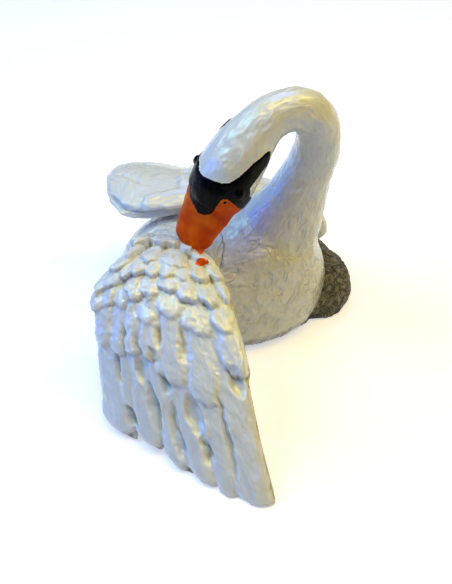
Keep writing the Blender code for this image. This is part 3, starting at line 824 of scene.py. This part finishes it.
# Feathers as (u, v at the tip, half width in u), measured along the wing
QUILLS = [
    (0.095, 0.968, 0.117), (0.305, 0.958, 0.098), (0.47, 0.985, 0.078), (0.61, 1.000, 0.079),
    (0.75, 1.005, 0.073), (0.885, 1.000, 0.11),
]
MIDDLE_QUILLS = [
    (0.2, 0.87, 0.055), (0.32, 0.8, 0.05), (0.44, 0.86, 0.05), (0.555, 0.9, 0.05),
    (0.68, 0.88, 0.055), (0.86, 0.85, 0.07),
]
GREATER_COVERTS = [
    (0.08, 0.69, 0.08), (0.21, 0.704, 0.076), (0.31, 0.691, 0.068), (0.43, 0.704, 0.074),
    (0.56, 0.757, 0.108), (0.75, 0.776, 0.104), (0.94, 0.68, 0.08),
]
LESSER_COVERTS = [
    (0.02, 0.546, 0.084), (0.13, 0.54, 0.07), (0.24, 0.545, 0.072), (0.42, 0.592, 0.084),
    (0.56, 0.556, 0.108), (0.74, 0.592, 0.11), (0.91, 0.556, 0.08),
    (0.02, 0.487, 0.075), (0.11, 0.467, 0.078), (0.3, 0.513, 0.08), (0.42, 0.507, 0.075),
    (0.56, 0.47, 0.1), (0.69, 0.494, 0.08), (0.83, 0.484, 0.085), (0.95, 0.44, 0.06),
    (0.11, 0.395, 0.085), (0.21, 0.44, 0.07), (0.31, 0.421, 0.08), (0.42, 0.417, 0.066),
    (0.55, 0.412, 0.088), (0.67, 0.418, 0.07), (0.79, 0.401, 0.08), (0.93, 0.375, 0.07),
    (0.17, 0.325, 0.07), (0.37, 0.362, 0.104), (0.58, 0.372, 0.13), (0.85, 0.32, 0.11),
    (0.42, 0.262, 0.18), (0.12, 0.262, 0.12), (0.75, 0.262, 0.14),
]
# Hollows between the quills: u, v at the lower end, half width in u, length in v, depth
HOLLOWS = [
    (0.165, 0.8, 0.026, 0.1, 2.0), (0.34, 0.7, 0.024, 0.08, 1.6), (0.495, 0.672, 0.024, 0.085, 1.8),
    (0.44, 0.71, 0.03, 0.045, 2.0), (0.345, 0.8, 0.03, 0.11, 2.0), (0.385, 0.905, 0.05, 0.13, 2.6),
    (0.49, 0.792, 0.036, 0.065, 2.4), (0.52, 0.955, 0.036, 0.15, 2.2), (0.65, 0.872, 0.05, 0.11, 2.6),
    (0.68, 0.935, 0.028, 0.09, 2.0), (0.93, 0.72, 0.05, 0.08, 2.4), (0.215, 0.93, 0.046, 0.07, 2.4),
    (0.82, 0.96, 0.02, 0.23, 2.0), (0.24, 0.7, 0.018, 0.11, 1.6), (0.64, 0.69, 0.022, 0.12, 1.8),
]
ROUND_END = 0.05
SPOT_PLACE = (0.82, 0.31, 2.5)
SPOT_RADIUS = 1.7
SPOT_STRETCH = (1.6, 0.9, 0.9)


def drawn_feathers(rows):
    """Feathers from rows of (places, reach, thickness, lift, ragged), each a little off the rule."""
    draw = random.Random(SEED)
    made = []
    for places, reach, thickness, lift, ragged in rows:
        for u, tip, half_u in places:
            made.append((
                u, tip, half_u * draw.uniform(0.98, 1.06), reach * draw.uniform(0.92, 1.08),
                thickness * draw.uniform(0.9, 1.15), lift * draw.uniform(0.85, 1.2),
                draw.uniform(-0.02, 0.02), ragged * draw.uniform(0.6, 1.4),
            ))
    return made


def wing_skin(sheet, rim, low, feathers, hollows, paint, **sizes):
    """The sheet with its feathers on top and a plain underside, closed all round."""
    listed = feather_list(f"{sheet.name}_feathers", feathers, FEATHER_FIELDS)
    dug = feather_list(f"{sheet.name}_hollows", hollows, HOLLOW_FIELDS)
    top = sheet.upper(rim)
    sizes.update(Sheet_width=sheet.width, Sheet_length=sheet.length)
    with_tree(top, LAY_FEATHERS, Feathers=listed, Hollows=dug, Paint=paint, **sizes)
    shells = [settled(top)]
    if low is not None:
        shells.append(sheet.lower(low * rim + sizes["Edge_height"] * (1 - rim)))
    skin = joined(sheet.name, shells)
    shape = bmesh.new()
    shape.from_mesh(skin.data)
    bmesh.ops.remove_doubles(shape, verts=shape.verts, dist=0.02 * MM)
    rims = [edge for edge in shape.edges if edge.is_boundary]
    if rims:
        bmesh.ops.holes_fill(shape, edges=rims, sides=0)
    put_back(shape, skin.data)
    stood(skin, paint)
    for name, value in (("black", NO_PAINT), ("orange", NO_PAINT), ("worked", 0.0)):
        add_values(skin.data, name, np.full(len(skin.data.vertices), value))
    for helper in (listed, dug):
        bpy.data.objects.remove(helper, do_unlink=True)
    return skin


def feather_edges(feathers):
    """How far the feathers reach: least and most u for each v, and most v for each u."""
    fine = np.linspace(0, 1.02, 409)
    wide = np.linspace(-0.15, 1.15, 521)
    least, most = np.full(len(fine), 0.05), np.full(len(fine), 0.93)
    far = np.full(len(wide), 0.90)
    for u, tip, half_u, reach, *_ in feathers:
        share = (fine - tip) / reach + 1
        over = (share > 0.1) & (share < 1)
        breadth = (1 - np.clip(1 - (1 - share) * reach / ROUND_END, 0, 1) ** 2.4) ** (1 / 2.2) * half_u
        least[over] = np.minimum(least, u - breadth)[over]
        most[over] = np.maximum(most, u + breadth)[over]
        aside = np.abs(wide - u) / half_u
        beside = aside < 1
        end = tip - ROUND_END * (1 - (1 - np.clip(aside, 0, 1) ** 2.2) ** (1 / 2.4))
        far[beside] = np.maximum(far, end)[beside]
    soft = np.ones(5) / 5
    padded = [np.pad(values, 2, mode="edge") for values in (least, most, far)]
    return fine, wide, *(np.convolve(values, soft, mode="valid") for values in padded)


def spread_wing(paint):
    """A thick sheet down to the table: quills with hollows between them, and shorter rows over them."""
    feathers = drawn_feathers([
        (QUILLS, 0.60, 3.6, 0.5, 0.0),
        (MIDDLE_QUILLS, 0.38, 2.6, 1.6, 0.01),
        (GREATER_COVERTS, 0.34, 3.2, 3.0, 0.03),
        (LESSER_COVERTS, 0.15, 2.6, 3.4, 0.05),
    ])
    fine, wide, least, most, far = feather_edges(feathers)

    def place(a, b):
        low, high = np.interp(0.93, fine, least), np.interp(0.93, fine, most)
        v = b * np.interp(low + (high - low) * a, wide, far)
        left, right = np.interp(v, fine, least), np.interp(v, fine, most)
        return left + (right - left) * a, v

    across, along = SPREAD_CELLS
    sheet = Sheet("spread_wing", place, spread_surface, across, along, SPREAD_WIDTH, SPREAD_LENGTH)
    a, b = np.meshgrid(np.linspace(0, 1, across + 1), np.linspace(0, 1, along + 1))
    insets = [a * SPREAD_WIDTH, (1 - a) * SPREAD_WIDTH, (1 - b) * SPREAD_LENGTH]
    rim = np.clip(np.minimum.reduce(insets).reshape(-1) / EDGE_ROUNDING, 0, 1) ** 0.5
    low = np.full(len(rim), UNDERSIDE_HEIGHT)
    skin = wing_skin(sheet, rim, low, feathers, HOLLOWS, paint, Edge_height=EDGE_HEIGHT)
    # One drop of the bill's paint has fallen on the wing.
    apart = (points_of(skin.data) - np.array(spread_point(*SPOT_PLACE))) / SPOT_STRETCH
    add_values(skin.data, "orange", SPOT_RADIUS - np.linalg.norm(apart, axis=1))
    return skin


# Left wing, folded along the back

FOLDED_WIDTH = 32
FOLDED_THICKNESS = 11.5
FOLDED_SHEET_SIZE = (34.0, 92.0)
FOLDED_CELLS = (168, 210)
FOLDED_RIDGE_DEPTH = 0.2
FOLDED_COVERTS = [
    (0.14, 0.63, 0.12), (0.02, 0.57, 0.10), (0.32, 0.53, 0.13), (0.56, 0.50, 0.14), (0.82, 0.48, 0.14),
]
SHOULDER_COVERTS = [
    [(0.20, 0.41, 0.15), (0.45, 0.42, 0.15), (0.70, 0.41, 0.15), (0.93, 0.37, 0.13)],
    [(0.10, 0.31, 0.14), (0.33, 0.32, 0.15), (0.57, 0.32, 0.15), (0.82, 0.30, 0.15)],
    [(0.22, 0.23, 0.15), (0.48, 0.24, 0.15), (0.74, 0.23, 0.15)],
]
# The curl along the near edge and the fold over the tip, each with its change of u last
FOLDED_HOLLOWS = [(-0.03, 0.90, 0.13, 0.44, 3.0, 0.30), (0.48, 0.84, 0.024, 0.24, 0.9, 0.28)]


def folded_wing(paint):
    """A leaf from the wrist beside the breast to the lifted tip, with its feathers in low relief."""
    wide, thick = FOLDED_WIDTH / 2, FOLDED_THICKNESS / 2
    leaf = Loft([
        ((33, 15, 22), 0.30 * wide, 0.60 * thick, (0.5, 0.7, 0.5)),
        ((28, 18, 27), 0.62 * wide, 1.05 * thick, (0.3, 0.8, 0.5)),
        ((14, 20.5, 34.5), 0.92 * wide, 1.25 * thick, (0, 0.7, 0.7)),
        ((-5, 19.5, 41), 1.06 * wide, 1.25 * thick, (0, 0.45, 0.9)),
        ((-22, 18, 43.5), 1.15 * wide, 1.25 * thick, (0, 0.25, 0.95)),
        ((-37, 18, 43.9), 1.21 * wide, 1.12 * thick, (0, 0.1, 1)),
        ((-46.5, 18.7, 44.5), 1.08 * wide, 0.86 * thick, (0, 0.05, 1)),
        ((-52, 18.5, 44.8), 0.66 * wide, 0.60 * thick, (0, 0.05, 1)),
        ((-53.8, 18.3, 44.8), 0.25 * wide, 0.30 * thick, (0, 0.05, 1)),
    ])
    feathers = drawn_feathers([
        ([(0.50, 0.99, 0.75)], 1.20, 0.2, 0.0, 0.0),
        (FOLDED_COVERTS, 0.24, 1.6, 1.3, 0.02),
        (SHOULDER_COVERTS[0], 0.18, 1.8, 1.7, 0.02),
        (SHOULDER_COVERTS[1], 0.15, 1.8, 1.7, 0.02),
        (SHOULDER_COVERTS[2], 0.13, 1.8, 1.7, 0.02),
    ])

    def seat(u, v):
        return leaf.point(v, math.radians(170 - 160 * u))

    def place(a, b):
        return -0.625 + 2.25 * a, 0.002 + 0.996 * b

    sheet = Sheet("folded_wing", place, seat, *FOLDED_CELLS, *FOLDED_SHEET_SIZE, facing=-1)
    rim = np.ones(len(sheet.flat))
    depths = {"Edge_height": 0.0, "Ridge_depth": FOLDED_RIDGE_DEPTH}
    return wing_skin(sheet, rim, None, feathers, FOLDED_HOLLOWS, paint, **depths)


# Rock


# Centre and diameters of the plinth and of each boulder
PLINTH = ((-5, 2, 0), (82, 50, 24))
BOULDERS = [
    ((31.3, 7, 3), (31, 37.8, 29.1)), ((24, 21, 2), (34, 29.5, 26.4)), ((2, 27, 1), (40.3, 21.7, 23.3)),
    ((-22, 22, 0), (37.2, 24.8, 21.7)),
]


def rock(paint):
    """A low plinth with boulders round the breast's far side, carved with curling grooves."""
    shells = [ball("plinth", *PLINTH, segments=64)]
    for centre, diameters in BOULDERS:
        shells.append(ball(f"boulder_{len(shells)}", centre, diameters, segments=48))
    stone = settled(fused(joined("rock", shells), ROCK_GRAIN, 6))
    add_values(stone.data, "grain", points_of(stone.data))
    strokes = {"Stroke_depth": 0.8, "Stroke_length": 3.2, "Stroke_width": 3.0}
    with_tree(stone, BRUSH_RELIEF, Lump_height=1.2, Lump_size=9.0, **strokes)
    return stood(settled(stone), paint)


# Paints


def material_graph(name):
    material = bpy.data.materials.new(name)
    material.use_nodes = True
    material.node_tree.nodes.clear()
    return material, Graph(material.node_tree)


def noted(graph, name, output="Fac"):
    """A value that a mesh carries at its points."""
    return graph.node("ShaderNodeAttribute", {}, output, attribute_name=name)


def coated(graph, colour, roughness, normal, **sockets):
    """A painted surface."""
    feeds = {"Base Color": colour, "Roughness": roughness, "Normal": normal}
    feeds.update((name.replace("_", " "), value) for name, value in sockets.items())
    return graph.node("ShaderNodeBsdfPrincipled", feeds)


def finished(graph, shader):
    graph.node("ShaderNodeOutputMaterial", {"Surface": shader})


PEARL = (0.84, 0.85, 0.83, 1)
CREAM = (0.78, 0.77, 0.70, 1)
RECESS_SHADE_OLIVE = (0.44, 0.38, 0.20, 1)
CREST_LIGHT_WHITE = (0.90, 0.90, 0.88, 1)
BREAST_WARM_SHADE = (0.66, 0.60, 0.36, 1)
FOOT_CONTACT_SHADE = (0.13, 0.105, 0.03, 1)
DEEP_ORANGE = (0.72, 0.065, 0.002, 1)
BILL_ORANGE = (0.95, 0.14, 0.003, 1)
MASK_BLACK = (0.0015, 0.002, 0.002, 1)
DARK_STONE = (0.14, 0.13, 0.085, 1)
PALE_STONE = (0.24, 0.23, 0.17, 1)
STONE_CREST_LIGHT = (0.34, 0.33, 0.27, 1)
STONE_GROOVE_SHADE = (0.02, 0.018, 0.012, 1)


def swan_paint():
    """Pearly white with painted shade and light, a black mask and an orange bill where the mesh carries
    them.
    """
    material, graph = material_graph("swan_paint")
    grain = noted(graph, "grain", "Vector")
    crest = noted(graph, "crest")
    # Painted shade: hollows of the skin, where it lies below its blurred self, are darkened towards olive
    shaded_hollow = (0 - crest).steps(0.12, 1.15)
    # Painted light: raised crests of the skin are lightened towards a brighter white
    raised = crest.steps(0.05, 0.40)
    cloud = graph.noise(grain, 0.11, 2.0, 0.3)
    brush = graph.noise(graph.stretched(grain, (0.35, 1.5, 1.5)), 1.0, 3.0, 0.8)
    fleck = graph.noise(graph.stretched(grain, (1.2, 2.6, 2.6)), 1.0, 1.0, 0.3)
    curl = graph.noise(graph.stretched(grain, (0.12, 0.21, 0.21)), 1.0, 1.2, 1.1)
    part = graph.noise(grain, 0.16, 1.0).steps(0.36, 0.60)
    # Painted shade: the curled brush grooves are darkened towards olive as well as pressed in
    shaded_groove = (1 - ((curl - 0.5).math("ABSOLUTE") * 6).clamped()) * part
    worked = shaded_groove * noted(graph, "worked")
    black = (noted(graph, "black") + (fleck - 0.5) * 0.5).steps(-0.02, 0.10)
    orange = (noted(graph, "orange") + (fleck - 0.5) * 0.4).steps(-0.02, 0.10)
    white = graph.blend((cloud * 0.9).clamped(), PEARL, CREAM)
    layers = [((shaded_hollow * 0.9 + worked * 0.22).clamped(), RECESS_SHADE_OLIVE), (raised * 0.7, CREST_LIGHT_WHITE)]
    bill = graph.blend(cloud.steps(0.38, 0.62), DEEP_ORANGE, BILL_ORANGE)
    low = graph.parts(graph.node("ShaderNodeTexCoord", {}, "Object"))[2] / MM
    # Painted contact shade: the white darkens to olive-brown within a few millimetres of the table
    contact_shade = (1 - (low + (cloud - 0.5) * 4.0).steps(2.0, 6.5)) * noted(graph, "worked")
    # Painted warm shade: the lower body is tinted ochre, more so the lower it lies
    layers += [(noted(graph, "worked") * 0.22, BREAST_WARM_SHADE), (contact_shade * 0.85, FOOT_CONTACT_SHADE)]
    for share, colour in layers:
        white = graph.blend(share, white, colour)
    gloss = graph.blend(black, bill, MASK_BLACK)
    height = brush * 0.24 + fleck * 0.08 - worked * 0.75
    rough = graph.bump(1.0, 0.75, height)
    even = graph.bump(0.6, 0.3, brush)
    roughness = 0.16 + (brush - 0.5) * 0.14 + shaded_hollow * 0.15
    bare = coated(graph, white, roughness, rough, Coat_Weight=0.8, Coat_Roughness=0.08)
    glazed = coated(graph, gloss, 0.13, even, Specular_IOR_Level=0.06)
    both = graph.node("ShaderNodeMixShader", {0: (black + orange).clamped(), 1: bare, 2: glazed})
    finished(graph, both)
    return material


def rock_paint():
    """Grey-green stone, with painted shade in its grooves and hollows and painted light on its crests."""
    material, graph = material_graph("rock_paint")
    grain = noted(graph, "grain", "Vector")
    crest = noted(graph, "crest")
    curl = graph.noise(grain, 0.27, 2.0, 1.5)
    grit = graph.noise(grain, 2.2, 3.0)
    line = 1 - ((curl - 0.5).math("ABSOLUTE") * 9).clamped()
    # Painted shade: curled groove lines and hollows of the skin go almost black
    deep = ((0 - crest).steps(0.0, 0.30) * 0.7 + line).clamped()
    stone = graph.blend(curl, DARK_STONE, PALE_STONE)
    # Painted light: raised crests are paled
    stone = graph.blend(crest.steps(0.05, 0.3) * 0.6, stone, STONE_CREST_LIGHT)
    colour = graph.blend(deep * 0.9, stone, STONE_GROOVE_SHADE)
    height = grit * 0.4 - deep * 1.4
    finished(graph, coated(graph, colour, 0.45 + grit * 0.3, graph.bump(0.8, 0.5, height)))
    return material


WHITE = (1, 1, 1, 1)
FLOOR_PAINT = (0.80, 0.80, 0.80, 1)
FLOOR_GLOW = 0.48
FLOOR_REACH = 3000
FLOOR_DROP = 0.2 * MM


def studio_floor():
    """A plain white floor that keeps the figurine's shadow."""
    shape = bmesh.new()
    bmesh.ops.create_grid(shape, x_segments=2, y_segments=2, size=FLOOR_REACH)
    floor = object_from("floor", shape)
    material, graph = material_graph("floor_white")
    seen = graph.node("ShaderNodeLightPath", {}, "Is Camera Ray")
    glossy = graph.node("ShaderNodeLightPath", {}, "Is Glossy Ray")
    matt = graph.node("ShaderNodeBsdfDiffuse", {"Color": FLOOR_PAINT})
    glow = graph.node("ShaderNodeEmission", {"Color": WHITE, "Strength": (seen + glossy) * FLOOR_GLOW})
    finished(graph, graph.node("ShaderNodeAddShader", {0: matt, 1: glow}))
    floor.data.materials.append(material)
    floor.location.z = -FLOOR_DROP
    return floor


# Studio


# Lamps and camera in metres and watts
FACED = Vector((-0.005, -0.03, 0.045))
LAMP_DISTANCE = 0.6
LAMP_SIZE = 0.3
GLINT_SIZE = 0.035
GLINT_WATTS = 0.12
ROOM_LIGHT = 0.05
CAMERA_TILT = math.radians(42)
CAMERA_DISTANCE = 0.4
CAMERA_AIM = (-0.00588, 0.00225, 0.0025)
SENSOR_WIDTH = 36
METRES_PER_PIXEL = 0.42 * MM
PICTURE_HEIGHT = 584
LAMPS = [
    # name, direction it stands in, watts, colour
    ("overhead", (0, 0, 1), 1.30, (1.0, 0.70, 0.02)),
    ("window_behind", (0, 0.6, 0.8), 1.05, (0.02, 0.23, 1.0)),
    ("window_left", (-0.6, 0.1, 0.8), 1.22, (0.30, 0.80, 1.0)),
    ("warm_right", (0.6, 0.1, 0.8), 1.34, (1.0, 0.76, 0.02)),
    ("sky_left", (-0.95, 0, 0.3), 1.50, (0.02, 0.15, 1.0)),
    ("sky_front", (0, -0.6, 0.8), 0.38, (0.02, 0.18, 1.0)),
]
# Small bright lamps that only draw glints on the wet paint
GLINTS = [
    ("glint_left", (-0.45, -0.15, 0.9)), ("glint_right", (0.5, -0.35, 0.8)),
    ("glint_behind", (0.1, 0.6, 0.8)), ("glint_low", (-0.7, 0.3, 0.5)), ("glint_front", (0.05, -0.45, 0.9)),
]


def lamp(name, way, watts, colour, size):
    """A round lamp that faces the figurine from one side."""
    light = bpy.data.lights.new(name, "AREA")
    light.shape, light.size, light.energy, light.color = "DISK", size, watts, colour
    made = bpy.data.objects.new(name, light)
    bpy.context.scene.collection.objects.link(made)
    made.location = FACED + Vector(way).normalized() * LAMP_DISTANCE
    made.rotation_euler = (FACED - made.location).to_track_quat("-Z", "Y").to_euler()


def studio():
    scene = bpy.context.scene
    scene.view_settings.view_transform = "Standard"
    world = bpy.data.worlds.new("room")
    scene.world = world
    world.use_nodes = True
    world.node_tree.nodes.clear()
    graph = Graph(world.node_tree)
    seen = graph.node("ShaderNodeLightPath", {}, "Is Camera Ray")
    room = graph.node("ShaderNodeBackground", {"Color": WHITE, "Strength": ROOM_LIGHT})
    white = graph.node("ShaderNodeBackground", {"Color": WHITE, "Strength": 1.0})
    sky = graph.node("ShaderNodeMixShader", {0: seen, 1: room, 2: white})
    graph.node("ShaderNodeOutputWorld", {"Surface": sky})
    for name, way, watts, colour in LAMPS:
        lamp(name, way, watts, colour, LAMP_SIZE)
    for name, way in GLINTS:
        lamp(name, way, GLINT_WATTS, WHITE[:3], GLINT_SIZE)


def photo_camera():
    """Looks along +Y and down, as the photo does."""
    data = bpy.data.cameras.new("photo")
    data.sensor_width, data.clip_start = SENSOR_WIDTH, 0.01
    data.lens = SENSOR_WIDTH * CAMERA_DISTANCE / METRES_PER_PIXEL / PICTURE_HEIGHT
    camera = bpy.data.objects.new("photo", data)
    bpy.context.scene.collection.objects.link(camera)
    back = Vector((0, -math.cos(CAMERA_TILT), math.sin(CAMERA_TILT)))
    camera.location = Vector(CAMERA_AIM) + back * CAMERA_DISTANCE
    camera.rotation_euler = (math.pi / 2 - CAMERA_TILT, 0, 0)
    bpy.context.scene.camera = camera


photo_camera()
studio()
studio_floor()
white_paint = swan_paint()
swan = [swan_body(white_paint), spread_wing(white_paint), folded_wing(white_paint)]
for piece in (*swan, rock(rock_paint())):
    print(piece.name, sum(len(face.vertices) - 2 for face in piece.data.polygons), "triangles")
    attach(piece, "root")
    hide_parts("swan")
